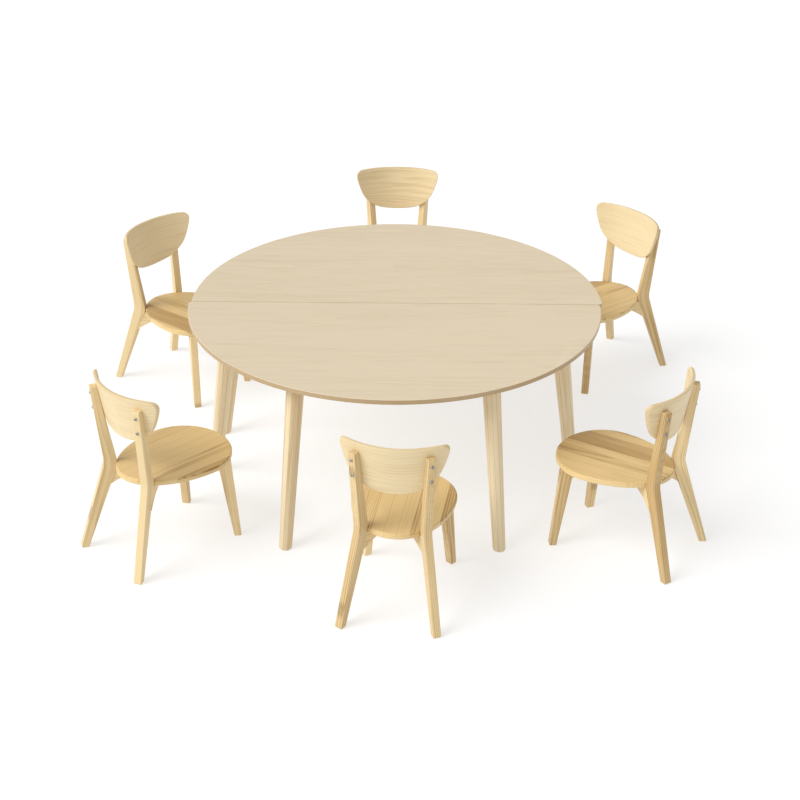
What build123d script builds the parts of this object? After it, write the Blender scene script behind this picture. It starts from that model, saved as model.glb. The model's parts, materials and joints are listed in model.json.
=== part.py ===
"""A round play table in two half-round tables, with six small wooden chairs round it.

Millimetres, +Z up, everything standing on Z = 0. The two half tables meet on a line along X.
The origin is at the middle of the box round the whole set, at floor level.
"""
from build123d import *
from math import atan2, cos, degrees, hypot, radians, sin
import os

# ---- table ----
TABLE_RADIUS = 600
TABLE_HEIGHT = 500
TOP_THICKNESS = 14
SEAM_GAP = 2                 # between the straight edges of the two half tops
SEAM_CORNER_RADIUS = 12
TOP_EDGE_EASING = 1.5
BACK_HALF_SHIFT = 7          # the back half stands this far to the right of the front half
LEG_TOP_DIAMETER = 50
LEG_FOOT_DIAMETER = 36
LEG_FOOT_ROUNDING = 5
# Each leg of a half table: where its axis meets the mounting block, and where it meets the floor.
# The straight edge of the half is on y = 0 and its curved edge is towards -y.
HALF_TABLE_LEGS = {
    "curve_left_leg": ((-264, -463), (-297, -541)),
    "curve_right_leg": ((264, -463), (297, -541)),
    "seam_left_leg": ((-472, -178), (-532, -112)),
    "seam_right_leg": ((472, -178), (532, -112)),
}
BLOCK_LENGTH = 116           # across the way the leg leans
BLOCK_WIDTH = 92
BLOCK_THICKNESS = 18
BLOCK_LIP = 28               # from the leg's axis to the block's outer edge
BLOCK_CORNER_RADIUS = 12
STUD_DIAMETER = 8
STUD_REACH_UP = 14           # into the block
STUD_REACH_DOWN = 30         # into the leg
BORE_CLEARANCE = 0.4         # on the diameter, round studs and bolts

# ---- chair: its own frame has +Y to the front, +X to the sitter's right ----
SEAT_TOP = 260
SEAT_THICKNESS = 16
SEAT_HALF_WIDTH = 139
SEAT_WIDEST_Y = 88           # the egg is widest here, and longer to the back than to the front
SEAT_REAR_LENGTH = 205
SEAT_FRONT_LENGTH = 129
SEAT_TOP_ROUNDING = 5
SEAT_BOTTOM_ROUNDING = 3
SEAT_NOTCH_CLEARANCE = 1.2   # round the rear legs

RAIL_ANGLE = 37.1            # of each rail and its front leg from the chair's front-to-back line
RAIL_CROSSING_Y = 17         # where the planes of the two rails cross
REAR_LEG_ANGLE = 28          # of each rear leg
REAR_LEG_CROSSING_Y = 60.5   # where the planes of the two rear legs cross
LEG_THICKNESS = 22
LEG_EASING = 2.2
RAIL_THICKNESS = 18
# Outlines in those upright planes: (distance from the crossing, height), positive to the front.
REAR_LEG_REAR_EDGE = [(-278.5, 0), (-196.5, 262), (-219, 496)]
REAR_LEG_FRONT_EDGE = [(-199, 496), (-159.5, 254), (-257, 0)]
FRONT_LEG_OUTLINE = [(205, 0), (184, SEAT_TOP - SEAT_THICKNESS), (147, SEAT_TOP - SEAT_THICKNESS), (185, 0)]
KNEE_REAR_RADIUS = 70
KNEE_FRONT_RADIUS = 55
FOOT_CORNER_RADIUS = 4
RAIL_DEPTH_REAR = 60
RAIL_DEPTH_MIDDLE = 24
RAIL_DEPTH_FRONT = 30
RAIL_REAR_END = (-131, -154)  # at its top and bottom, before it is cut to the rear leg
RAIL_BRACKET_LENGTH = 96     # over which the rail gets thinner away from the rear leg

BACK_TOP = 520
BACK_RADIUS = 230            # of the rear face, seen from above
BACK_THICKNESS = 10
BACK_LEAN = 10.2             # degrees
BACK_REAR_Y = -137           # middle of the rear face at BACK_REFERENCE_HEIGHT
BACK_REFERENCE_HEIGHT = 500
BACK_HALF_WIDTH = 138
# Right half of the back's outline, seen square on, from the bottom middle up to its widest point.
BACK_LOWER_EDGE = [(0, 376), (58, 382), (95, 402), (119, 432), (BACK_HALF_WIDTH, 488)]
BACK_TOP_CORNER = (132.5, 510)
BACK_TOP_EDGE = (112, 516)
BOLT_HEIGHTS = (476, 431)
BOLT_DIAMETER = 5
BOLT_HEAD_DIAMETER = 10
BOLT_HEAD_HEIGHT = 3
BOLT_LENGTH = 26               # under the head

# Middle of each chair's feet and the way it faces, clockwise from +Y, with the table's middle at (0, 0).
CHAIR_PLACES = {
    "front_chair": (19, -757, 8.9),
    "front_right_chair": (655, -497, -58.7),
    "front_left_chair": (-641, -506, 46.0),
    "back_left_chair": (-692, 475, 127.9),
    "back_right_chair": (683, 589, -128.0),
    "back_chair": (3, 928, 180.0),
}


# ---- table ----
def half_top():
    """The front half of the round top: a half disc with small rounded ends at the seam."""
    disc = Circle(TABLE_RADIUS)
    keep = Pos(0, -SEAM_GAP / 2 - TABLE_RADIUS / 2) * Rectangle(2 * TABLE_RADIUS, TABLE_RADIUS)
    outline = disc & keep
    outline = fillet(outline.vertices(), SEAM_CORNER_RADIUS)
    slab = extrude(Plane.XY.offset(TABLE_HEIGHT - TOP_THICKNESS) * outline, TOP_THICKNESS)
    rims = slab.edges().filter_by_position(Axis.Z, TABLE_HEIGHT - 0.01, TABLE_HEIGHT + 0.01)
    rims += slab.edges().filter_by_position(
        Axis.Z, TABLE_HEIGHT - TOP_THICKNESS - 0.01, TABLE_HEIGHT - TOP_THICKNESS + 0.01)
    return fillet(rims, TOP_EDGE_EASING)


def block_underside():
    return TABLE_HEIGHT - TOP_THICKNESS - BLOCK_THICKNESS


def table_leg(top_xy, foot_xy):
    """A round leg that tapers to the floor and leans out, bored at the top for its stud."""
    top = Pos(*top_xy, block_underside()) * Circle(LEG_TOP_DIAMETER / 2)
    foot = Pos(*foot_xy, 0) * Circle(LEG_FOOT_DIAMETER / 2)
    leg = loft([foot, top])
    leg = fillet(leg.edges().sort_by(Axis.Z)[0], LEG_FOOT_ROUNDING)
    bore_depth = STUD_REACH_DOWN + 2
    bore = Pos(*top_xy, block_underside() - bore_depth / 2) * Cylinder(
        (STUD_DIAMETER + BORE_CLEARANCE) / 2, bore_depth)
    return leg - bore


def leg_mount(top_xy, foot_xy):
    """The wooden block under the top that carries a leg, and the steel stud that joins them."""
    lean = degrees(atan2(foot_xy[1] - top_xy[1], foot_xy[0] - top_xy[0]))
    inner_edge = BLOCK_LIP - BLOCK_WIDTH
    plan = Pos((BLOCK_LIP + inner_edge) / 2, 0) * RectangleRounded(
        BLOCK_WIDTH, BLOCK_LENGTH, BLOCK_CORNER_RADIUS)
    place = Pos(*top_xy, block_underside()) * Rot(0, 0, lean)
    block = extrude(place * plan, BLOCK_THICKNESS)
    lower_rim = block.edges().filter_by_position(Axis.Z, block_underside() - 0.01, block_underside() + 0.01)
    block = fillet(lower_rim, 2)
    socket = Pos(*top_xy, block_underside() + STUD_REACH_UP / 2) * Cylinder(
        (STUD_DIAMETER + BORE_CLEARANCE) / 2, STUD_REACH_UP)
    length = STUD_REACH_UP + STUD_REACH_DOWN
    middle = block_underside() + (STUD_REACH_UP - STUD_REACH_DOWN) / 2
    stud = Pos(*top_xy, middle) * Cylinder(STUD_DIAMETER / 2, length)
    return [block - socket, stud]


def half_table():
    """The pieces of the front half table, by name."""
    pieces = {"top": half_top(), "leg_mounts": []}
    for name, (top_xy, foot_xy) in HALF_TABLE_LEGS.items():
        pieces[name] = table_leg(top_xy, foot_xy)
        pieces["leg_mounts"] += leg_mount(top_xy, foot_xy)
    return pieces


# ---- chair ----
def upright_plane(side, angle, crossing_y):
    """An upright plane through the crossing; side +1 runs from rear left to front right."""
    toward_front = (side * sin(radians(angle)), cos(radians(angle)), 0)
    square_to_it = (toward_front[1], -toward_front[0], 0)
    return Plane(origin=(0, crossing_y, 0), x_dir=toward_front, z_dir=square_to_it)


def rail_plane(side):
    return upright_plane(side, RAIL_ANGLE, RAIL_CROSSING_Y)


def rear_leg_plane(side):
    return upright_plane(side, REAR_LEG_ANGLE, REAR_LEG_CROSSING_Y)


def board(plane, outline, thickness):
    return extrude(plane * outline, thickness / 2, both=True)


def rear_leg_outline():
    points = REAR_LEG_REAR_EDGE + REAR_LEG_FRONT_EDGE
    outline = make_face(Polyline(*points, close=True))
    knees = {KNEE_REAR_RADIUS: REAR_LEG_REAR_EDGE[1], KNEE_FRONT_RADIUS: REAR_LEG_FRONT_EDGE[1]}
    for radius, point in knees.items():
        knee = outline.vertices().sort_by_distance((*point, 0))[0]
        outline = fillet(knee, radius)
    ends = [v for v in outline.vertices() if v.Z < 1 and (v.Y < 1 or v.Y > REAR_LEG_REAR_EDGE[2][1] - 1)]
    return fillet(ends, FOOT_CORNER_RADIUS)


def front_leg_outline():
    outline = make_face(Polyline(*FRONT_LEG_OUTLINE, close=True))
    return fillet([v for v in outline.vertices() if v.Y < 1], FOOT_CORNER_RADIUS)


def eased_leg(plane, outline):
    """A leg board with its long edges and foot eased."""
    leg = board(plane, outline, LEG_THICKNESS)
    flat_side = [f for f in leg.faces() if abs(abs(f.normal_at().dot(plane.z_dir)) - 1) < 1e-6]
    edges = ShapeList()
    for face in flat_side:
        edges += face.edges()
    return fillet(edges, LEG_EASING)


def rail_outline():
    """The rail under the seat: deepest at the rear leg, thin in the middle, a little deeper in front."""
    seat_underside = SEAT_TOP - SEAT_THICKNESS
    rear_top = (RAIL_REAR_END[0], seat_underside)
    rear_bottom = (RAIL_REAR_END[1], seat_underside - RAIL_DEPTH_REAR)
    thin_start = (rear_bottom[0] + RAIL_BRACKET_LENGTH, seat_underside - RAIL_DEPTH_MIDDLE)
    thin_end = (85, seat_underside - RAIL_DEPTH_MIDDLE)
    front_bottom = (165, seat_underside - RAIL_DEPTH_FRONT)
    bracket = Spline(rear_bottom, thin_start, tangents=[(1, 0.75), (1, 0)])
    front_curve = Spline(thin_end, front_bottom, tangents=[(1, 0), (1, -0.25)])
    edge = Polyline(thin_end, thin_start) + bracket + front_curve
    edge += Polyline(rear_bottom, rear_top, (front_bottom[0], seat_underside), front_bottom)
    return make_face(edge)


def cross_rails(legs_by_side):
    """Two rails that cross under the seat in a half-lap joint, each cut to its legs' inner edges."""
    rails = {side: board(rail_plane(side), rail_outline(), RAIL_THICKNESS) for side in (1, -1)}
    lap_height = SEAT_TOP - SEAT_THICKNESS - RAIL_DEPTH_MIDDLE / 2
    upper = Pos(0, 0, lap_height + 50) * Box(600, 600, 100)
    lower = Pos(0, 0, lap_height - 50) * Box(600, 600, 100)
    crossing = Pos(0, RAIL_CROSSING_Y, SEAT_TOP) * Box(100, 100, 200)
    result = []
    for side, removed in ((1, upper), (-1, lower)):
        rail = rails[side] - (rails[-side] & removed & crossing)
        for leg in legs_by_side[side]:
            rail = rail - leg
        result.append(rail.solids().sort_by(SortBy.VOLUME)[-1])
    return result


def seat():
    """An egg-shaped seat, notched at the rear where the two rear legs pass it."""
    rear = EllipticalCenterArc((0, SEAT_WIDEST_Y), SEAT_HALF_WIDTH, SEAT_REAR_LENGTH, 180, arc_size=180)
    front = EllipticalCenterArc((0, SEAT_WIDEST_Y), SEAT_HALF_WIDTH, SEAT_FRONT_LENGTH, 0, arc_size=180)
    outline = make_face(rear + front)
    underside = SEAT_TOP - SEAT_THICKNESS
    slab = extrude(Plane.XY.offset(underside) * outline, SEAT_THICKNESS)
    slab = fillet(slab.edges().filter_by_position(Axis.Z, SEAT_TOP - 0.01, SEAT_TOP + 0.01), SEAT_TOP_ROUNDING)
    slab = fillet(slab.edges().filter_by_position(Axis.Z, underside - 0.01, underside + 0.01),
                  SEAT_BOTTOM_ROUNDING)
    for side in (1, -1):
        notch = offset(rear_leg_outline(), SEAT_NOTCH_CLEARANCE)
        slab = slab - board(rear_leg_plane(side), notch, LEG_THICKNESS + 2 * SEAT_NOTCH_CLEARANCE)
    return slab


def curved_back():
    """The moulded plywood back: a curved, leaning panel with a straight top and a rounded bottom."""
    shell = Cylinder(BACK_RADIUS, 300) - Cylinder(BACK_RADIUS - BACK_THICKNESS, 300)
    right = Spline(*BACK_LOWER_EDGE, tangents=[(1, 0), (0.15, 1)])
    right += Spline(BACK_LOWER_EDGE[-1], BACK_TOP_CORNER, BACK_TOP_EDGE, tangents=[(0.15, 1), (-1, 0.05)])
    right += Spline(BACK_TOP_EDGE, (0, BACK_TOP), tangents=[(-1, 0.05), (-1, 0)])
    left = mirror(right, about=Plane.YZ)
    outline = make_face(right + left)
    cutter = extrude(Plane.XZ * outline, 2 * BACK_RADIUS)
    panel = (Pos(0, BACK_RADIUS, BACK_REFERENCE_HEIGHT - 40) * shell) & (Pos(0, BACK_RADIUS, 0) * cutter)
    panel = panel.solids().sort_by(Axis.Y)[0]
    hinge_line = Pos(0, 0, BACK_REFERENCE_HEIGHT)
    return Pos(0, BACK_REAR_Y, 0) * hinge_line * Rot(BACK_LEAN, 0, 0) * hinge_line.inverse() * panel


def post_rear_edge(height):
    """Distance from the crossing of the post's rear edge at a height, and the inward direction there."""
    (knee_s, knee_z), (top_s, top_z) = REAR_LEG_REAR_EDGE[1:]
    slope = (top_s - knee_s) / (top_z - knee_z)
    length = hypot(1, slope)
    return knee_s + slope * (height - knee_z), (1 / length, -slope / length)


def back_bolt(side, height):
    """A domed bolt from the post's rear edge through the post into the back, and its bore."""
    plane = rear_leg_plane(side)
    s, (in_s, in_z) = post_rear_edge(height)
    start = plane.from_local_coords((s, height, 0))
    inward = plane.from_local_coords((s + in_s, height + in_z, 0)) - start
    along = Plane(origin=start, z_dir=inward)
    shank = extrude(along * Circle(BOLT_DIAMETER / 2), BOLT_LENGTH)
    bore = extrude(along * Circle((BOLT_DIAMETER + BORE_CLEARANCE) / 2), BOLT_LENGTH + 0.3)
    head = Pos(0, 0, -BOLT_HEAD_HEIGHT / 2) * Cylinder(BOLT_HEAD_DIAMETER / 2, BOLT_HEAD_HEIGHT)
    head = fillet(head.edges().sort_by(Axis.Z)[0], BOLT_HEAD_HEIGHT * 0.8)
    return shank + along.location * head, bore


def chair():
    """The pieces of one chair, by name, in the chair's own frame."""
    back = curved_back()
    names = {1: ("rear_leg_left", "front_leg_right"), -1: ("rear_leg_right", "front_leg_left")}
    pieces, bolts, legs_by_side = {}, [], {}
    for side in (1, -1):
        rear = eased_leg(rear_leg_plane(side), rear_leg_outline()) - back
        front = eased_leg(rail_plane(side), front_leg_outline())
        for height in BOLT_HEIGHTS:
            bolt, bore = back_bolt(side, height)
            bolts.append(bolt)
            rear = rear - bore
            back = back - bore
        rear_name, front_name = names[side]
        pieces[rear_name] = rear.solids().sort_by(SortBy.VOLUME)[-1]
        pieces[front_name] = front
        legs_by_side[side] = (rear, front)
    pieces["cross_rails"] = cross_rails(legs_by_side)
    pieces["seat"] = seat()
    pieces["backrest"] = back
    pieces["back_bolts"] = bolts
    return pieces


# ---- the whole set ----
def as_shape(piece):
    return Compound(children=list(piece)) if isinstance(piece, list) else piece


def whole_set():
    """Every node of the set by its name, with the table's middle at (0, 0)."""
    nodes = {}
    half = half_table()
    for name, piece in half.items():
        shape = as_shape(piece)
        nodes["front_half_" + name] = shape
        nodes["back_half_" + name] = Pos(BACK_HALF_SHIFT, 0, 0) * Rot(0, 0, 180) * shape
    for chair_name, (x, y, facing) in CHAIR_PLACES.items():
        place = Pos(x, y, 0) * Rot(0, 0, -facing)
        for name, piece in chair_pieces.items():
            nodes[chair_name + "_" + name] = place * as_shape(piece)
    return nodes


chair_pieces = chair()
nodes = whole_set()
box = Compound(children=[copy_of for copy_of in (Pos(0, 0, 0) * n for n in nodes.values())]).bounding_box()
to_origin = Pos(-(box.min.X + box.max.X) / 2, -(box.min.Y + box.max.Y) / 2, -box.min.Z)
os.makedirs("parts", exist_ok=True)
for name, shape in nodes.items():
    export_step(to_origin * shape, f"parts/{name}.step")
print("box", box.size, "table middle at", to_origin.position)
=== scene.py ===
# A round play table in two half-round tables, with six small wooden chairs round it.
#
# Every wooden piece carries point attributes for its finish:
#   board       how far a point lies along the grain, across it and through the piece, in metres, with a shift
#               of its own for each piece so that no two boards share a figure
#   piece_tone  one number from 0 to 1 for the whole piece, from pale wood to dark
#   depth       metres below the face, on the table tops, the seats and the backs
import json
import zlib
from math import asin, atan2, cos, pi, radians, sin, sqrt

import bmesh
import bpy
from mathutils import Matrix, Vector


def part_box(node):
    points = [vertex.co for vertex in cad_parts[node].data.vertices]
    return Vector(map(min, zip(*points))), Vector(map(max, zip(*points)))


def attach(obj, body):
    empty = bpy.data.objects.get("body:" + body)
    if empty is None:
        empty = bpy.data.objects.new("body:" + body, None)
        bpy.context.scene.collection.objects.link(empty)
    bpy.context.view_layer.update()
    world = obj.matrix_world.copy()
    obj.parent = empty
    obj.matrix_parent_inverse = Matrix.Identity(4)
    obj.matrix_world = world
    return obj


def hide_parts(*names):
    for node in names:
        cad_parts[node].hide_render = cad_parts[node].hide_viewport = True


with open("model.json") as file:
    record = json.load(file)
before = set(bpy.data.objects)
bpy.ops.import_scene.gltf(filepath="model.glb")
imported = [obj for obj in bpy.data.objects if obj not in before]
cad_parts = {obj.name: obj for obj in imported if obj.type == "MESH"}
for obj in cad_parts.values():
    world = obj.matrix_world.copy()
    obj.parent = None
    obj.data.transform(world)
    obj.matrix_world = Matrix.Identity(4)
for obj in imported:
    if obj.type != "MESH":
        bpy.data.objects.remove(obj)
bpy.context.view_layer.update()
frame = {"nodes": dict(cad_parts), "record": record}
record = frame["record"]
facing_of = {j["child"]: j["axis"] for j in record["behaviour"]["joints"]}

# ---- sizes, in metres ----
front_lo, front_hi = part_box("front_half_top")
SEAM_GAP = 0.002
TABLE_MIDDLE = Vector(((front_lo.x + front_hi.x) / 2, front_hi.y + SEAM_GAP / 2, 0))
TABLE_HEIGHT = front_hi.z
TOP_THICKNESS = front_hi.z - front_lo.z
BLOCK_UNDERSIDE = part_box("front_half_curve_left_leg")[1].z
BACK_HALF_SHIFT = 0.007
LEG_TOP_DIAMETER, LEG_FOOT_DIAMETER, LEG_FOOT_ROUNDING = 0.050, 0.036, 0.005
# Where each leg of the front half meets its block and the floor, from the table's middle.
TABLE_LEGS = {
    "curve_left_leg": ((-0.264, -0.463), (-0.297, -0.541)),
    "curve_right_leg": ((0.264, -0.463), (0.297, -0.541)),
    "seam_left_leg": ((-0.472, -0.178), (-0.532, -0.112)),
    "seam_right_leg": ((0.472, -0.178), (0.532, -0.112)),
}
# Middle of each chair, from the table's middle.
CHAIRS = {
    "front_chair": (0.019, -0.757),
    "front_right_chair": (0.655, -0.497),
    "front_left_chair": (-0.641, -0.506),
    "back_left_chair": (-0.692, 0.475),
    "back_right_chair": (0.683, 0.589),
    "back_chair": (0.003, 0.928),
}
# The upright planes the chair's rails, front legs and rear legs lie in, and where each pair crosses.
RAIL_ANGLE, RAIL_CROSSING = radians(37.1), 0.017
REAR_LEG_ANGLE, REAR_LEG_CROSSING = radians(28), 0.0605
SEAT_TOP = 0.260
# Middle lines of the legs in those planes, straight up from the front leg's top: (distance from the
# crossing, height).
REAR_LEG_LINE = [(-0.268, 0), (-0.178, 0.258), (-0.209, 0.496)]
FRONT_LEG_LINE = [(0.195, 0), (0.1655, 0.244), (0.1655, 0.5)]
BACK_TOP, BACK_RADIUS, BACK_THICKNESS, BACK_LEAN = 0.520, 0.230, 0.010, radians(10.2)
BACK_REAR_Y, BACK_REFERENCE_HEIGHT = -0.137, 0.500
BACK_EDGE_EASING, BACK_STRIP_WIDTH = 0.0028, 0.0088
# Right half of the back's outline, square on: from the bottom middle round the side to the top middle.
BACK_OUTLINE = [(0, 0.376), (0.058, 0.382), (0.095, 0.402), (0.119, 0.432), (0.138, 0.488), (0.1325, 0.510),
                (0.112, 0.516), (0.056, 0.5195), (0, BACK_TOP)]
BACK_CURVE_STEPS = 7
POST_REAR_EDGE = ((-0.1965, 0.262), (-0.219, 0.496))
BOLT_HEIGHTS = (0.476, 0.431)
# The screws in each block: how far out from the leg's axis, and how far to each side of it.
BLOCK_SCREWS = ((-0.052, 0.040), (-0.052, -0.040), (0.014, 0.046), (0.014, -0.046))
BLOCK_SCREW_SIZES = {"Head Diameter": 0.0075, "Head Height": 0.0018, "Socket Share": 0.45,
                     "Shank Diameter": 0.0038, "Shank Length": 0.026}
BACK_BOLT_SIZES = {"Head Diameter": 0.0102, "Head Height": 0.0034, "Socket Share": 0.46,
                   "Shank Diameter": 0.005, "Shank Length": 0.026}
SHARP_ANGLE, MERGE_DISTANCE = radians(32), 1e-6


# ---- building node trees ----
def place_node(tree, kind, inputs=None, **settings):
    """Adds a node; an input is a socket to join or a plain value."""
    node = tree.nodes.new(kind)
    for name, value in settings.items():
        setattr(node, name, value)
    for key, value in (inputs or {}).items():
        socket = node.inputs[key]
        if isinstance(value, bpy.types.NodeSocket):
            tree.links.new(value, socket)
        elif value is not None:
            socket.default_value = value
    return node


def calc(tree, operation, *values):
    """A math node's result."""
    return place_node(tree, "ShaderNodeMath", dict(enumerate(values)), operation=operation).outputs[0]


def vector_calc(tree, operation, *values):
    inputs = dict(enumerate(values))
    if operation == "SCALE":
        inputs = {0: values[0], 3: values[1]}
    return place_node(tree, "ShaderNodeVectorMath", inputs, operation=operation).outputs[0]


def ramp(tree, value, low, high, to_low=0.0, to_high=1.0):
    """The value carried smoothly from the range low..high to the range to_low..to_high."""
    inputs = {"Value": value, "From Min": low, "From Max": high, "To Min": to_low, "To Max": to_high}
    return place_node(tree, "ShaderNodeMapRange", inputs, interpolation_type="SMOOTHSTEP").outputs[0]


def ramp_line(tree, value, low, high, to_low, to_high):
    """As ramp, but in a straight line."""
    inputs = {"Value": value, "From Min": low, "From Max": high, "To Min": to_low, "To Max": to_high}
    return place_node(tree, "ShaderNodeMapRange", inputs, interpolation_type="LINEAR").outputs[0]


def blend_colors(tree, factor, a, b, kind="MIX"):
    inputs = {0: factor, 6: a, 7: b}
    return place_node(tree, "ShaderNodeMix", inputs, data_type="RGBA", blend_type=kind).outputs[2]


def noise(tree, position, scale, detail=2.0, roughness=0.5):
    inputs = {"Vector": position, "Scale": scale, "Detail": detail, "Roughness": roughness}
    return place_node(tree, "ShaderNodeTexNoise", inputs).outputs[0]


def new_group(name, inputs, outputs, kind="ShaderNodeTree"):
    """An empty node group with named sockets, and its input and output nodes."""
    types = {"float": "NodeSocketFloat", "vector": "NodeSocketVector", "color": "NodeSocketColor",
             "geometry": "NodeSocketGeometry", "material": "NodeSocketMaterial"}
    tree = bpy.data.node_groups.new(name, kind)
    for socket_name, (type_name, *default) in inputs.items():
        socket = tree.interface.new_socket(socket_name, in_out="INPUT", socket_type=types[type_name])
        if default:
            socket.default_value = default[0]
    for socket_name, type_name in outputs.items():
        tree.interface.new_socket(socket_name, in_out="OUTPUT", socket_type=types[type_name])
    return tree, tree.nodes.new("NodeGroupInput").outputs, tree.nodes.new("NodeGroupOutput").inputs


def use_group(tree, group, inputs):
    node = tree.nodes.new("ShaderNodeGroup")
    node.node_tree = group
    for name, value in inputs.items():
        if isinstance(value, bpy.types.NodeSocket):
            tree.links.new(value, node.inputs[name])
        else:
            node.inputs[name].default_value = value
    return node.outputs


# ---- shader groups ----
def make_grain_group():
    """Growth rings cut by the board, fibres, slow changes of tone and a few knots."""
    tree, given, result = new_group(
        "Wood Figure",
        {"Board": ("vector",), "Ring Spacing": ("float", 0.006), "Pith Distance": ("float", 0.05),
         "Wander": ("float", 0.02), "Knots": ("float", 0.0)},
        {"Rings": "float", "Fibres": "float", "Tone": "float", "Knot": "float"})
    split = place_node(tree, "ShaderNodeSeparateXYZ", {0: given["Board"]}).outputs
    along, across, through = split[0], split[1], split[2]

    stretched = place_node(tree, "ShaderNodeCombineXYZ", {
        0: calc(tree, "MULTIPLY", along, 0.13), 1: across, 2: through}).outputs[0]
    wander = calc(tree, "SUBTRACT", noise(tree, stretched, 14.0, 2.0), 0.5)
    small_wander = calc(tree, "SUBTRACT", noise(tree, stretched, 70.0, 2.0), 0.5)

    # Knots: rare ovals, longer along the grain, that push the rings aside.
    knot_position = place_node(tree, "ShaderNodeCombineXYZ", {
        0: calc(tree, "MULTIPLY", along, 0.62), 1: across,
        2: calc(tree, "MULTIPLY", through, 0.3)}).outputs[0]
    cells = place_node(tree, "ShaderNodeTexVoronoi", {"Vector": knot_position, "Scale": 8.5},
                       feature="F1", distance="EUCLIDEAN")
    cell_random = place_node(tree, "ShaderNodeSeparateColor", {0: cells.outputs["Color"]}).outputs[0]
    chosen = calc(tree, "LESS_THAN", cell_random, given["Knots"])
    near_knot = calc(tree, "MULTIPLY", ramp(tree, cells.outputs["Distance"], 0.26, 0.0), chosen)
    knot = calc(tree, "MULTIPLY", ramp(tree, cells.outputs["Distance"], 0.052, 0.03), chosen)

    radius = calc(tree, "SQRT", calc(
        tree, "ADD", calc(tree, "POWER", across, 2.0),
        calc(tree, "POWER", calc(tree, "ADD", through, given["Pith Distance"]), 2.0)))
    radius = calc(tree, "MULTIPLY_ADD", wander, given["Wander"], radius)
    radius = calc(tree, "MULTIPLY_ADD", small_wander, calc(tree, "MULTIPLY", given["Wander"], 0.07), radius)
    radius = calc(tree, "MULTIPLY_ADD", near_knot, 0.012, radius)
    phase = calc(tree, "FRACT", calc(tree, "DIVIDE", radius, given["Ring Spacing"]))
    late = calc(tree, "MULTIPLY", ramp(tree, phase, 0.15, 0.86), ramp(tree, phase, 1.0, 0.9))
    ring_strength = ramp(tree, noise(tree, stretched, 46.0, 1.0), 0.3, 0.7, 0.35, 1.0)

    fibre_position = place_node(tree, "ShaderNodeCombineXYZ", {
        0: calc(tree, "MULTIPLY", along, 0.045), 1: across, 2: through}).outputs[0]
    fibres = noise(tree, fibre_position, 900.0, 3.0, 0.65)
    streaks = noise(tree, fibre_position, 190.0, 2.0, 0.5)

    tree.links.new(calc(tree, "MULTIPLY", late, ring_strength), result["Rings"])
    fibres = calc(tree, "ADD", calc(tree, "MULTIPLY", fibres, 0.55), calc(tree, "MULTIPLY", streaks, 0.45))
    tree.links.new(fibres, result["Fibres"])
    tree.links.new(noise(tree, stretched, 6.0, 1.0), result["Tone"])
    tree.links.new(knot, result["Knot"])
    return tree


def make_strips_group():
    """Boards glued edge to edge: each strip's own place in the log, its tone, and the thin joint."""
    tree, given, result = new_group(
        "Glued Strips", {"Board": ("vector",), "Strip Width": ("float", 0.045)},
        {"Board": "vector", "Tone": "float", "Joint": "float"})
    split = place_node(tree, "ShaderNodeSeparateXYZ", {0: given["Board"]}).outputs
    place = calc(tree, "DIVIDE", split[1], given["Strip Width"])
    number = calc(tree, "FLOOR", place)
    inside = calc(tree, "FRACT", place)
    random = place_node(tree, "ShaderNodeTexWhiteNoise", {"W": number}, noise_dimensions="1D").outputs
    shift = vector_calc(tree, "MULTIPLY", vector_calc(tree, "SUBTRACT", random["Color"], (0.5, 0.5, 0.5)),
                        (4.0, 0.09, 0.05))
    from_joint = calc(tree, "MULTIPLY", calc(tree, "MINIMUM", inside, calc(tree, "SUBTRACT", 1.0, inside)),
                      given["Strip Width"])
    tree.links.new(vector_calc(tree, "ADD", given["Board"], shift), result["Board"])
    tree.links.new(random["Value"], result["Tone"])
    tree.links.new(ramp(tree, from_joint, 0.0007, 0.0002), result["Joint"])
    return tree


def make_ply_group():
    """The edge of a plywood panel: veneers that run along and across in turn, with glue lines between."""
    tree, given, result = new_group(
        "Ply Layers", {"Depth": ("float",), "Thickness": ("float", 0.014), "Layers": ("float", 9.0)},
        {"Edge": "float", "Cross Veneer": "float", "Glue": "float"})
    share = calc(tree, "DIVIDE", given["Depth"], given["Thickness"])
    edge = calc(tree, "MULTIPLY", ramp(tree, share, 0.045, 0.075), ramp(tree, share, 0.955, 0.925))
    place = calc(tree, "MULTIPLY", share, given["Layers"])
    inside = calc(tree, "FRACT", place)
    to_line = calc(tree, "MINIMUM", inside, calc(tree, "SUBTRACT", 1.0, inside))
    odd = calc(tree, "GREATER_THAN", calc(tree, "MODULO", calc(tree, "FLOOR", place), 2.0), 0.5)
    tree.links.new(edge, result["Edge"])
    tree.links.new(calc(tree, "MULTIPLY", odd, edge), result["Cross Veneer"])
    tree.links.new(calc(tree, "MULTIPLY", ramp(tree, to_line, 0.12, 0.03), edge), result["Glue"])
    return tree


def make_wear_group():
    """Where hands and feet rub: the outer corners, broken up, and faint smudges on the flats."""
    tree, given, result = new_group(
        "Rubbed Edges", {"Board": ("vector",)}, {"Rubbed": "float", "Smudges": "float"})
    corner = ramp(tree, place_node(tree, "ShaderNodeNewGeometry").outputs["Pointiness"], 0.53, 0.62)
    broken = ramp(tree, noise(tree, given["Board"], 60.0, 3.0), 0.35, 0.65)
    tree.links.new(calc(tree, "MULTIPLY", corner, broken), result["Rubbed"])
    tree.links.new(ramp(tree, noise(tree, given["Board"], 11.0, 3.0), 0.35, 0.75), result["Smudges"])
    return tree


grain_group, strips_group = make_grain_group(), make_strips_group()
ply_group, wear_group = make_ply_group(), make_wear_group()


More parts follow.
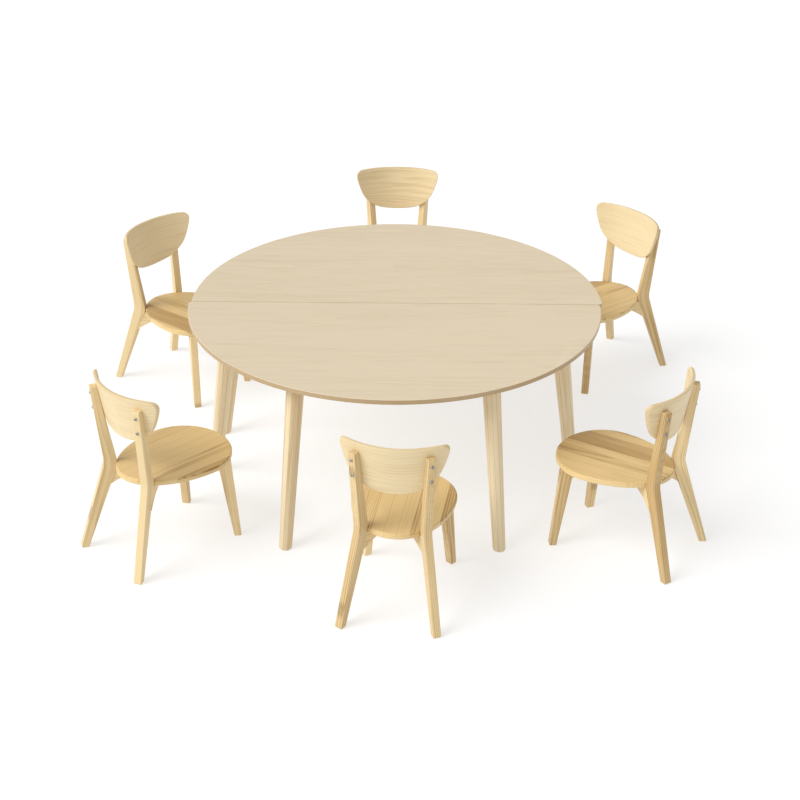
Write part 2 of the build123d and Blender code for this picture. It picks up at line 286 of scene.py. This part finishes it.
# ---- materials ----
def make_wood(name, light, dark, ring_spacing, pith_distance, wander, ring_depth=0.6, fibre_depth=0.35,
              tone_depth=0.3, knots=0.0, strip_width=None, strip_depth=0.5, ply=None, pale_side=None,
              roughness=0.42):
    """A lacquered wood. strip_width gives glued strips, ply = (thickness, layers, darkness) a ply edge, and
    pale_side = (start, end) a paler side below that depth."""
    material = bpy.data.materials.new(name)
    material.use_nodes = True
    tree = material.node_tree
    shader = tree.nodes["Principled BSDF"]
    board = place_node(tree, "ShaderNodeAttribute", attribute_name="board").outputs["Vector"]
    piece_tone = place_node(tree, "ShaderNodeAttribute", attribute_name="piece_tone").outputs["Fac"]
    depth = place_node(tree, "ShaderNodeAttribute", attribute_name="depth").outputs["Fac"]
    figure_board = board
    if strip_width:
        strips = use_group(tree, strips_group, {"Board": board, "Strip Width": strip_width})
        figure_board = strips["Board"]
    figure = use_group(tree, grain_group, {
        "Board": figure_board, "Ring Spacing": ring_spacing, "Pith Distance": pith_distance, "Wander": wander,
        "Knots": knots})
    wear = use_group(tree, wear_group, {"Board": board})

    shade = calc(tree, "MULTIPLY", figure["Rings"], ring_depth)
    fibre = calc(tree, "SUBTRACT", figure["Fibres"], 0.5)
    shade = calc(tree, "MULTIPLY_ADD", fibre, fibre_depth * 2, shade)
    shade = calc(tree, "MULTIPLY_ADD", calc(tree, "SUBTRACT", figure["Tone"], 0.5), tone_depth * 2, shade)
    shade = calc(tree, "MULTIPLY_ADD", calc(tree, "SUBTRACT", piece_tone, 0.5), tone_depth, shade)
    if strip_width:
        shade = calc(tree, "MULTIPLY_ADD", calc(tree, "SUBTRACT", strips["Tone"], 0.4), strip_depth, shade)
    shade = place_node(tree, "ShaderNodeClamp", {0: shade}).outputs[0]
    color = blend_colors(tree, shade, (*light, 1), (*dark, 1))
    height = calc(tree, "MULTIPLY_ADD", figure["Rings"], -0.35, calc(tree, "MULTIPLY", fibre, 0.5))
    if strip_width:
        color = blend_colors(tree, calc(tree, "MULTIPLY", strips["Joint"], 0.45), color,
                             tuple(c * 0.45 for c in dark) + (1,))
        height = calc(tree, "MULTIPLY_ADD", strips["Joint"], -0.8, height)
    if ply:
        layers = use_group(tree, ply_group, {"Depth": depth, "Thickness": ply[0], "Layers": ply[1]})
        color = blend_colors(tree, calc(tree, "MULTIPLY", layers["Edge"], 0.75 * ply[2]), color,
                             (light[0] * 0.72, light[1] * 0.60, light[2] * 0.42, 1))
        color = blend_colors(tree, calc(tree, "MULTIPLY", layers["Cross Veneer"], 0.6 * ply[2]), color,
                             (dark[0] * 0.60, dark[1] * 0.47, dark[2] * 0.33, 1))
        color = blend_colors(tree, calc(tree, "MULTIPLY", layers["Glue"], 0.5 * ply[2]), color,
                             tuple(c * 0.40 for c in dark) + (1,))
        height = calc(tree, "MULTIPLY_ADD", layers["Glue"], -1.2, height)
    if pale_side:
        color = blend_colors(tree, ramp(tree, depth, *pale_side, 0.0, 0.6), color,
                             (light[0] * 1.08, light[1] * 1.16, light[2] * 1.3, 1))
    color = blend_colors(tree, calc(tree, "MULTIPLY", figure["Knot"], 0.8), color,
                         (dark[0] * 0.42, dark[1] * 0.28, dark[2] * 0.2, 1))
    color = blend_colors(tree, calc(tree, "MULTIPLY", wear["Rubbed"], 0.35), color,
                         tuple(min(c * 1.12, 1) for c in light) + (1,))
    tree.links.new(color, shader.inputs["Base Color"])

    rough = calc(tree, "MULTIPLY_ADD", figure["Rings"], -0.08, roughness)
    rough = calc(tree, "MULTIPLY_ADD", wear["Smudges"], 0.09, rough)
    rough = calc(tree, "MULTIPLY_ADD", wear["Rubbed"], 0.12, rough)
    tree.links.new(rough, shader.inputs["Roughness"])
    bump = place_node(tree, "ShaderNodeBump", {"Height": height, "Strength": 0.22, "Distance": 0.0004})
    tree.links.new(bump.outputs[0], shader.inputs["Normal"])
    shader.inputs["Coat Weight"].default_value = 0.12
    shader.inputs["Coat Roughness"].default_value = 0.28
    shader.inputs["Specular IOR Level"].default_value = 0.3
    return material


def make_bolt_steel():
    """Bright zinc plate with fine turning marks."""
    material = bpy.data.materials.new("bolt_steel")
    material.use_nodes = True
    tree = material.node_tree
    shader = tree.nodes["Principled BSDF"]
    position = place_node(tree, "ShaderNodeTexCoord").outputs["Object"]
    spots = noise(tree, position, 420.0, 3.0)
    marks = noise(tree, vector_calc(tree, "MULTIPLY", position, (1.0, 1.0, 9.0)), 900.0, 2.0)
    color = blend_colors(tree, ramp(tree, spots, 0.3, 0.7), (0.34, 0.33, 0.31, 1), (0.47, 0.46, 0.43, 1))
    tree.links.new(color, shader.inputs["Base Color"])
    tree.links.new(ramp(tree, marks, 0.3, 0.7, 0.24, 0.42), shader.inputs["Roughness"])
    bump = place_node(tree, "ShaderNodeBump", {"Height": marks, "Strength": 0.15, "Distance": 0.0002})
    tree.links.new(bump.outputs[0], shader.inputs["Normal"])
    shader.inputs["Metallic"].default_value = 1.0
    return material


materials = {
    "top_plywood": make_wood("top_plywood", (0.725, 0.610, 0.435), (0.575, 0.45, 0.285), 0.020, 0.6, 0.07,
                             ring_depth=0.25, fibre_depth=0.95, tone_depth=0.25,
                             ply=(TOP_THICKNESS, 9.0, 0.9), roughness=0.40),
    "table_leg_pine": make_wood("table_leg_pine", (0.80, 0.665, 0.44), (0.50, 0.34, 0.155), 0.011, 0.05, 0.02,
                                ring_depth=0.4, strip_width=0.013, strip_depth=0.5, tone_depth=0.35),
    "block_pine": make_wood("block_pine", (0.56, 0.38, 0.18), (0.38, 0.23, 0.09), 0.007, 0.06, 0.03),
    "seat_pine": make_wood("seat_pine", (0.735, 0.53, 0.245), (0.37, 0.205, 0.06), 0.0056, 0.03, 0.022,
                           ring_depth=0.7, strip_width=0.034, strip_depth=0.95, knots=0.04,
                           pale_side=(0.004, 0.0065)),
    "back_plywood": make_wood("back_plywood", (0.80, 0.65, 0.395), (0.55, 0.38, 0.165), 0.0052, 0.06, 0.03,
                              ring_depth=0.42, fibre_depth=0.4, ply=(BACK_THICKNESS, 7.0, 0.22)),
    "leg_pine": make_wood("leg_pine", (0.80, 0.625, 0.345), (0.43, 0.255, 0.08), 0.0056, 0.05, 0.018,
                          ring_depth=0.5, tone_depth=0.75, knots=0.05, strip_width=0.026, strip_depth=0.35),
    "bolt_steel": make_bolt_steel(),
}


# ---- pieces ----
def piece_shift(name):
    """A place of its own in the log for each piece, always the same for the same name."""
    seed = zlib.crc32(name.encode())
    return Vector(((seed & 255) / 25.0, ((seed >> 8) & 255) / 2550.0 - 0.05, ((seed >> 16) & 255) / 8500.0))


def store(mesh, name, kind, values):
    key = "vector" if kind == "FLOAT_VECTOR" else "value"
    attribute = mesh.attributes.new(name, kind, "POINT")
    attribute.data.foreach_set(key, values)


def finish_piece(name, mesh, body, slot, node, boards, depths=None):
    """Adds a wooden piece with its board attribute and lets it stand for its CAD node."""
    shift = piece_shift(name)
    store(mesh, "board", "FLOAT_VECTOR", [c for b in boards for c in Vector(b) + shift])
    if depths:
        store(mesh, "depth", "FLOAT", depths)
    return add_piece(name, mesh, body, slot, node)


def add_piece(name, mesh, body, slot, *nodes):
    mesh.polygons.foreach_set("use_smooth", [True] * len(mesh.polygons))
    mesh.set_sharp_from_angle(angle=SHARP_ANGLE)
    if not mesh.materials:
        mesh.materials.append(materials[slot])
    store(mesh, "piece_tone", "FLOAT", [(zlib.crc32(name.encode()[::-1]) & 255) / 255] * len(mesh.vertices))
    piece = bpy.data.objects.new(name, mesh)
    bpy.context.collection.objects.link(piece)
    weighted = piece.modifiers.new("Weighted Normals", "WEIGHTED_NORMAL")
    weighted.keep_sharp = True
    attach(piece, body)
    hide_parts(*nodes)
    return piece


def merged_copy(node, name):
    """The CAD node's shape as one joined-up mesh of its own."""
    form = bmesh.new()
    form.from_mesh(frame["nodes"][node].data)
    bmesh.ops.remove_doubles(form, verts=form.verts, dist=MERGE_DISTANCE)
    mesh = bpy.data.meshes.new(name)
    mesh.from_pydata([v.co[:] for v in form.verts], [], [[v.index for v in f.verts] for f in form.faces])
    form.free()
    return mesh


def along_line(line, distance, height):
    """How far a point lies along a leg's bent middle line, and how far to the side of it."""
    lower, knee, upper = (Vector(p) for p in line)
    start, end = (lower, knee) if height < knee.y else (knee, upper)
    share = (height - start.y) / (end.y - start.y)
    middle = start.lerp(end, share)
    blend = 0.012 * max(0.0, 1 - abs(height - knee.y) / 0.03) ** 2
    bend = (upper.x - knee.x) / (upper.y - knee.y) - (knee.x - lower.x) / (knee.y - lower.y)
    return height, distance - middle.x - blend * bend


def in_plane(point, side, angle, crossing):
    """A point of the chair in an upright plane's terms: distance from the crossing, height, off the plane."""
    toward_front = Vector((side * sin(angle), cos(angle)))
    offset = Vector((point.x, point.y - crossing))
    return offset.dot(toward_front), point.z, offset.x * toward_front.y - offset.y * toward_front.x


def rail_board(point):
    """The two rails share a node: a point belongs to the rail whose plane it lies nearer."""
    choices = [in_plane(point, side, RAIL_ANGLE, RAIL_CROSSING) for side in (1, -1)]
    side = 0 if abs(choices[0][2]) < abs(choices[1][2]) else 1
    distance, height, off = choices[side]
    return distance + side, height - SEAT_TOP, off


def leg_board(side, angle, crossing, line):
    def board(point):
        distance, height, off = in_plane(point, side, angle, crossing)
        along, across = along_line(line, distance, height)
        return along, across, off
    return board


def smooth_curve(points, steps):
    """A smooth curve from the second point to the last but one; the outer two only steer its ends."""
    result = []
    for a, b, c, d in zip(points, points[1:], points[2:], points[3:]):
        a, b, c, d = (Vector(p) for p in (a, b, c, d))
        for i in range(steps):
            t = i / steps
            result.append(0.5 * (2 * b + (c - a) * t + (2 * a - 5 * b + 4 * c - d) * t ** 2
                                 + (3 * b - a - 3 * c + d) * t ** 3))
    return result + [Vector(points[-2])]


def build_back(name, place):
    """The moulded back: a flat panel is cut out, its edges eased, then it is bent and leaned."""
    before, after = ((-x, z) for x, z in (BACK_OUTLINE[1], BACK_OUTLINE[-2]))
    right = smooth_curve([before, *BACK_OUTLINE, after], BACK_CURVE_STEPS)
    outline = right + [Vector((-p.x, p.y)) for p in right[-2:0:-1]]
    form = bmesh.new()
    form.faces.new([form.verts.new((p.x, p.y, 0)) for p in outline])
    for i in range(-15, 16):
        cut_x = i * BACK_STRIP_WIDTH + 0.0001  # a hair off the middle, where the outline has corners
        bmesh.ops.bisect_plane(form, geom=form.verts[:] + form.edges[:] + form.faces[:],
                               plane_co=(cut_x, 0, 0), plane_no=(1, 0, 0))
    raised = bmesh.ops.extrude_face_region(form, geom=form.faces[:])
    for v in (g for g in raised["geom"] if isinstance(g, bmesh.types.BMVert)):
        v.co.z = BACK_THICKNESS
    bmesh.ops.recalc_face_normals(form, faces=form.faces)
    rim = [e for e in form.edges if abs(e.verts[0].co.z - e.verts[1].co.z) < 1e-6
           and any(abs(f.normal.z) < 0.5 for f in e.link_faces)]
    bmesh.ops.bevel(form, geom=rim, offset=BACK_EDGE_EASING, segments=3, profile=0.5, affect="EDGES")
    lean = Matrix.Translation((0, BACK_REAR_Y, BACK_REFERENCE_HEIGHT)) @ Matrix.Rotation(BACK_LEAN, 4, "X")
    boards, depths = [], []
    for v in form.verts:
        x, z, depth = v.co
        boards.append((asin(x / BACK_RADIUS) * BACK_RADIUS, z - 0.45, depth))
        depths.append(depth)
        y = BACK_RADIUS - sqrt((BACK_RADIUS - depth) ** 2 - x ** 2)
        v.co = place @ lean @ Vector((x, y, z - BACK_REFERENCE_HEIGHT))
    bmesh.ops.recalc_face_normals(form, faces=form.faces)
    mesh = bpy.data.meshes.new(name)
    form.to_mesh(mesh)
    form.free()
    return mesh, boards, depths


# ---- geometry node trees ----
def close_tree(tree, geometry, given, result):
    """Ends a tree: real geometry, in its material."""
    real = place_node(tree, "GeometryNodeRealizeInstances", {"Geometry": geometry})
    painted = place_node(tree, "GeometryNodeSetMaterial", {
        "Geometry": real.outputs[0], "Material": given["Material"]})
    tree.links.new(painted.outputs[0], result["Geometry"])


def make_leg_tree():
    """A round leg that tapers and leans out: level circles from the foot point to the top point."""
    tree, given, result = new_group(
        "Turned Leg",
        {"Top Point": ("vector",), "Foot Point": ("vector",), "Top Diameter": ("float", 0.05),
         "Foot Diameter": ("float", 0.036), "Foot Rounding": ("float", 0.005), "Board Shift": ("vector",),
         "Material": ("material",)},
        {"Geometry": "geometry"}, "GeometryNodeTree")
    blank = place_node(tree, "GeometryNodeMeshCone", {
        "Vertices": 48, "Side Segments": 56, "Radius Top": 1.0, "Radius Bottom": 1.0, "Depth": 1.0})
    position = place_node(tree, "GeometryNodeInputPosition").outputs[0]
    split = place_node(tree, "ShaderNodeSeparateXYZ", {0: position}).outputs
    rise = calc(tree, "MULTIPLY", split[2], split[2])
    middle = place_node(tree, "ShaderNodeMix", {0: rise, 4: given["Foot Point"], 5: given["Top Point"]},
                        data_type="VECTOR").outputs[1]
    diameter = place_node(tree, "ShaderNodeMix", {
        0: rise, 2: given["Foot Diameter"], 3: given["Top Diameter"]}, data_type="FLOAT").outputs[0]
    height = place_node(tree, "ShaderNodeSeparateXYZ", {0: vector_calc(
        tree, "SUBTRACT", middle, given["Foot Point"])}).outputs[2]
    below = calc(tree, "MAXIMUM", calc(tree, "SUBTRACT", given["Foot Rounding"], height), 0.0)
    kept = calc(tree, "SQRT", calc(tree, "SUBTRACT", calc(tree, "POWER", given["Foot Rounding"], 2.0),
                                   calc(tree, "POWER", below, 2.0)))
    radius = calc(tree, "ADD", calc(tree, "MULTIPLY", diameter, 0.5),
                  calc(tree, "SUBTRACT", kept, given["Foot Rounding"]))
    offset = vector_calc(tree, "SCALE", vector_calc(tree, "MULTIPLY", position, (1.0, 1.0, 0.0)), radius)
    parts = place_node(tree, "ShaderNodeSeparateXYZ", {0: offset}).outputs
    board = place_node(tree, "ShaderNodeCombineXYZ", {0: height, 1: parts[0], 2: parts[1]}).outputs[0]
    stored = place_node(tree, "GeometryNodeStoreNamedAttribute", {
        "Geometry": blank.outputs[0], "Name": "board",
        "Value": vector_calc(tree, "ADD", board, given["Board Shift"])},
        data_type="FLOAT_VECTOR", domain="POINT")
    shaped = place_node(tree, "GeometryNodeSetPosition", {
        "Geometry": stored.outputs[0], "Position": vector_calc(tree, "ADD", middle, offset)})
    close_tree(tree, shaped.outputs[0], given, result)
    return tree


def make_bolt_tree():
    """Domed socket-head fasteners, one on each point, each turned to the point's outward direction."""
    tree, given, result = new_group(
        "Domed Fasteners",
        {"Geometry": ("geometry",), "Head Diameter": ("float", 0.01), "Head Height": ("float", 0.003),
         "Socket Share": ("float", 0.45), "Shank Diameter": ("float", 0.005),
         "Shank Length": ("float", 0.026), "Material": ("material",)},
        {"Geometry": "geometry"}, "GeometryNodeTree")
    blank = place_node(tree, "GeometryNodeMeshCone", {
        "Vertices": 36, "Side Segments": 20, "Radius Top": 1.0, "Radius Bottom": 1.0, "Depth": 1.0})
    position = place_node(tree, "GeometryNodeInputPosition").outputs[0]
    split = place_node(tree, "ShaderNodeSeparateXYZ", {0: position}).outputs
    step = split[2]
    over_dome = ramp_line(tree, step, 0.0, 0.6, 1.0, given["Socket Share"])
    over_floor = ramp_line(tree, step, 0.8, 1.0, 1.0, 0.4)
    into_socket = ramp_line(tree, step, 0.6, 0.8, 0.0, 1.0)
    dome = calc(tree, "SQRT", calc(tree, "SUBTRACT", 1.0, calc(tree, "POWER", over_dome, 2.0)))
    height = calc(tree, "MULTIPLY", calc(tree, "MULTIPLY", dome, given["Head Height"]),
                  calc(tree, "SUBTRACT", 1.0, calc(tree, "MULTIPLY", into_socket, 0.75)))
    turn = calc(tree, "MODULO", calc(tree, "ADD", calc(tree, "ARCTAN2", split[1], split[0]), 2 * pi), pi / 3)
    six_sides = calc(tree, "DIVIDE", cos(pi / 6), calc(tree, "COSINE", calc(tree, "SUBTRACT", turn, pi / 6)))
    in_socket = calc(tree, "GREATER_THAN", step, 0.59)
    sides = place_node(tree, "ShaderNodeMix", {0: in_socket, 2: 1.0, 3: six_sides},
                       data_type="FLOAT").outputs[0]
    radius = calc(tree, "MULTIPLY", calc(tree, "MULTIPLY", over_dome, over_floor), sides)
    radius = calc(tree, "MULTIPLY", radius, calc(tree, "MULTIPLY", given["Head Diameter"], 0.5))
    flat = vector_calc(tree, "SCALE", vector_calc(tree, "MULTIPLY", position, (1.0, 1.0, 0.0)), radius)
    lift = place_node(tree, "ShaderNodeCombineXYZ", {2: height}).outputs[0]
    head = place_node(tree, "GeometryNodeSetPosition", {
        "Geometry": blank.outputs[0], "Position": vector_calc(tree, "ADD", flat, lift)})
    shank = place_node(tree, "GeometryNodeMeshCylinder", {
        "Vertices": 16, "Radius": calc(tree, "MULTIPLY", given["Shank Diameter"], 0.5),
        "Depth": given["Shank Length"]})
    sunk = place_node(tree, "ShaderNodeCombineXYZ", {2: calc(tree, "MULTIPLY", given["Shank Length"], -0.5)})
    shank_placed = place_node(tree, "GeometryNodeTransform", {
        "Geometry": shank.outputs[0], "Translation": sunk.outputs[0]})
    both = tree.nodes.new("GeometryNodeJoinGeometry")
    tree.links.new(head.outputs[0], both.inputs[0])
    tree.links.new(shank_placed.outputs[0], both.inputs[0])
    outward = place_node(tree, "GeometryNodeInputNamedAttribute", {"Name": "outward"},
                         data_type="FLOAT_VECTOR")
    turned = place_node(tree, "FunctionNodeAlignRotationToVector", {"Vector": outward.outputs[0]}, axis="Z")
    placed = place_node(tree, "GeometryNodeInstanceOnPoints", {
        "Points": given["Geometry"], "Instance": both.outputs[0], "Rotation": turned.outputs[0]})
    close_tree(tree, placed.outputs[0], given, result)
    return tree


def run_tree(tree, name, inputs, points=(), directions=()):
    """The plain mesh a geometry node tree makes from its inputs, and from points with outward directions."""
    seed_mesh = bpy.data.meshes.new(name + " points")
    seed_mesh.from_pydata([tuple(p) for p in points], [], [])
    if points:
        store(seed_mesh, "outward", "FLOAT_VECTOR", [c for d in directions for c in d])
    carrier = bpy.data.objects.new(name + " carrier", seed_mesh)
    bpy.context.collection.objects.link(carrier)
    modifier = carrier.modifiers.new(tree.name, "NODES")
    modifier.node_group = tree
    identifiers = {s.name: s.identifier for s in tree.interface.items_tree
                   if s.item_type == "SOCKET" and s.in_out == "INPUT"}
    for key, value in inputs.items():
        modifier[identifiers[key]] = value
    evaluated = carrier.evaluated_get(bpy.context.evaluated_depsgraph_get())
    mesh = bpy.data.meshes.new_from_object(evaluated)
    mesh.name = name
    bpy.data.objects.remove(carrier)
    return mesh


leg_tree, bolt_tree = make_leg_tree(), make_bolt_tree()


# ---- the two half tables ----
for half in ("front", "back"):
    body = half + "_half_table"
    place = Matrix.Translation(TABLE_MIDDLE)
    if half == "back":
        place = place @ Matrix.Translation((BACK_HALF_SHIFT, 0, 0)) @ Matrix.Rotation(pi, 4, "Z")

    top = merged_copy(half + "_half_top", half + "_top")
    boards = [(v.co.x - TABLE_MIDDLE.x, v.co.y - TABLE_MIDDLE.y, v.co.z - TABLE_HEIGHT) for v in top.vertices]
    depths = [TABLE_HEIGHT - v.co.z for v in top.vertices]
    finish_piece(half + "_top", top, body, "top_plywood", half + "_half_top", boards, depths)

    screw_points = []
    for leg, (top_xy, foot_xy) in TABLE_LEGS.items():
        name = f"{half}_{leg}"
        mesh = run_tree(leg_tree, name, {
            "Top Point": tuple(place @ Vector((*top_xy, BLOCK_UNDERSIDE))),
            "Foot Point": tuple(place @ Vector((*foot_xy, 0))),
            "Top Diameter": LEG_TOP_DIAMETER, "Foot Diameter": LEG_FOOT_DIAMETER,
            "Foot Rounding": LEG_FOOT_ROUNDING, "Board Shift": tuple(piece_shift(name)),
            "Material": materials["table_leg_pine"]})
        add_piece(name, mesh, body, "table_leg_pine", f"{half}_half_{leg}")
        lean = Vector(foot_xy) - Vector(top_xy)
        lean.normalize()
        sideways = Vector((-lean.y, lean.x))
        for reach, aside in BLOCK_SCREWS:
            spot = Vector(top_xy) + lean * reach + sideways * aside
            screw_points.append(place @ Vector((spot.x, spot.y, BLOCK_UNDERSIDE)))

    mounts = merged_copy(half + "_half_leg_mounts", half + "_leg_mounts")
    finish_piece(half + "_leg_mounts", mounts, body, "block_pine", half + "_half_leg_mounts",
                 [(v.co.x, v.co.y, v.co.z) for v in mounts.vertices])
    down = [(0, 0, -1)] * len(screw_points)
    screws = run_tree(bolt_tree, half + "_block_screws", {
        **BLOCK_SCREW_SIZES, "Material": materials["bolt_steel"]}, screw_points, down)
    add_piece(half + "_block_screws", screws, body, "bolt_steel")


# ---- the chairs ----
def chair_place(chair):
    """The chair's own frame, with +Y to its front, in the frame of the whole set."""
    x, y = CHAIRS[chair]
    facing_x, facing_y, _ = facing_of[chair]
    turn = Matrix.Rotation(atan2(-facing_x, facing_y), 4, "Z")
    return Matrix.Translation(TABLE_MIDDLE + Vector((x, y, 0))) @ turn


def seat_board(point):
    return point.y, point.x, point.z - SEAT_TOP


chair_boards = {
    "seat": ("seat_pine", seat_board),
    "cross_rails": ("leg_pine", rail_board),
    "rear_leg_left": ("leg_pine", leg_board(1, REAR_LEG_ANGLE, REAR_LEG_CROSSING, REAR_LEG_LINE)),
    "rear_leg_right": ("leg_pine", leg_board(-1, REAR_LEG_ANGLE, REAR_LEG_CROSSING, REAR_LEG_LINE)),
    "front_leg_right": ("leg_pine", leg_board(1, RAIL_ANGLE, RAIL_CROSSING, FRONT_LEG_LINE)),
    "front_leg_left": ("leg_pine", leg_board(-1, RAIL_ANGLE, RAIL_CROSSING, FRONT_LEG_LINE)),
}
for chair in CHAIRS:
    place = chair_place(chair)
    back_to_chair = place.inverted()
    for part, (slot, board) in chair_boards.items():
        name = f"{chair}_{part}"
        mesh = merged_copy(name, name + "_wood")
        depths = [SEAT_TOP - v.co.z for v in mesh.vertices] if part == "seat" else None
        finish_piece(name + "_wood", mesh, chair, slot, name,
                     [board(back_to_chair @ v.co) for v in mesh.vertices], depths)
    mesh, boards, depths = build_back(chair + "_back_panel", place)
    finish_piece(chair + "_back_panel", mesh, chair, "back_plywood", chair + "_backrest", boards, depths)

    points, directions = [], []
    (knee_s, knee_z), (top_s, top_z) = POST_REAR_EDGE
    slope = (top_s - knee_s) / (top_z - knee_z)
    for side in (1, -1):
        toward_front = Vector((side * sin(REAR_LEG_ANGLE), cos(REAR_LEG_ANGLE), 0))
        out = (-toward_front + Vector((0, 0, slope))).normalized()
        for height in BOLT_HEIGHTS:
            distance = knee_s + slope * (height - knee_z)
            spot = Vector((0, REAR_LEG_CROSSING, height)) + toward_front * distance
            points.append(place @ spot)
            directions.append(place.to_3x3() @ out)
    bolts = run_tree(bolt_tree, chair + "_bolts", {
        **BACK_BOLT_SIZES, "Material": materials["bolt_steel"]}, points, directions)
    add_piece(chair + "_bolts", bolts, chair, "bolt_steel", chair + "_back_bolts")


# ---- studio ----
FLOOR_REACH, FLOOR_DROP = 250, 0.0004
SUN_DIRECTION, SUN_STRENGTH, SUN_SPREAD = (0.95, 0.42, -1.0), 2.35, 40
STUDIO_STRENGTH = 0.55
CAMERA_FROM_TABLE = Vector((0.018, -4.570, 2.638))
CAMERA_DOWN, CAMERA_ROLL = radians(28.29), radians(0.47)


def make_floor():
    mesh = bpy.data.meshes.new("floor")
    corners = [(-1, -1), (1, -1), (1, 1), (-1, 1)]
    mesh.from_pydata([(x * FLOOR_REACH, y * FLOOR_REACH, -FLOOR_DROP) for x, y in corners], [],
                     [(0, 1, 2, 3)])
    material = bpy.data.materials.new("floor_white")
    material.use_nodes = True
    shader = material.node_tree.nodes["Principled BSDF"]
    shader.inputs["Base Color"].default_value = (0.40, 0.40, 0.40, 1)
    shader.inputs["Emission Color"].default_value = (1, 1, 1, 1)
    shader.inputs["Emission Strength"].default_value = 0.62
    shader.inputs["Roughness"].default_value = 0.9
    shader.inputs["Specular IOR Level"].default_value = 0.0
    mesh.materials.append(material)
    floor = bpy.data.objects.new("floor", mesh)
    bpy.context.collection.objects.link(floor)


def add_sun(name, direction, strength, spread):
    """A soft far light that shines along the direction."""
    light = bpy.data.lights.new(name, "SUN")
    light.energy, light.angle = strength, radians(spread)
    lamp = bpy.data.objects.new(name, light)
    lamp.rotation_euler = Vector(direction).to_track_quat("-Z", "Y").to_euler()
    bpy.context.collection.objects.link(lamp)


make_floor()
add_sun("key light", SUN_DIRECTION, SUN_STRENGTH, SUN_SPREAD)
world = bpy.data.worlds.new("studio")
world.use_nodes = True
world.node_tree.nodes["Background"].inputs[0].default_value = (1, 1, 1, 1)
world.node_tree.nodes["Background"].inputs[1].default_value = STUDIO_STRENGTH
bpy.context.scene.world = world
bpy.context.scene.view_settings.view_transform = "Standard"

camera = bpy.data.cameras.new("camera")
camera.sensor_width, camera.lens = 36, 77.67
eye = bpy.data.objects.new("camera", camera)
eye.matrix_world = (Matrix.Translation(TABLE_MIDDLE + CAMERA_FROM_TABLE)
                    @ Matrix.Rotation(pi / 2 - CAMERA_DOWN, 4, "X") @ Matrix.Rotation(CAMERA_ROLL, 4, "Z"))
bpy.context.collection.objects.link(eye)
bpy.context.scene.camera = eye
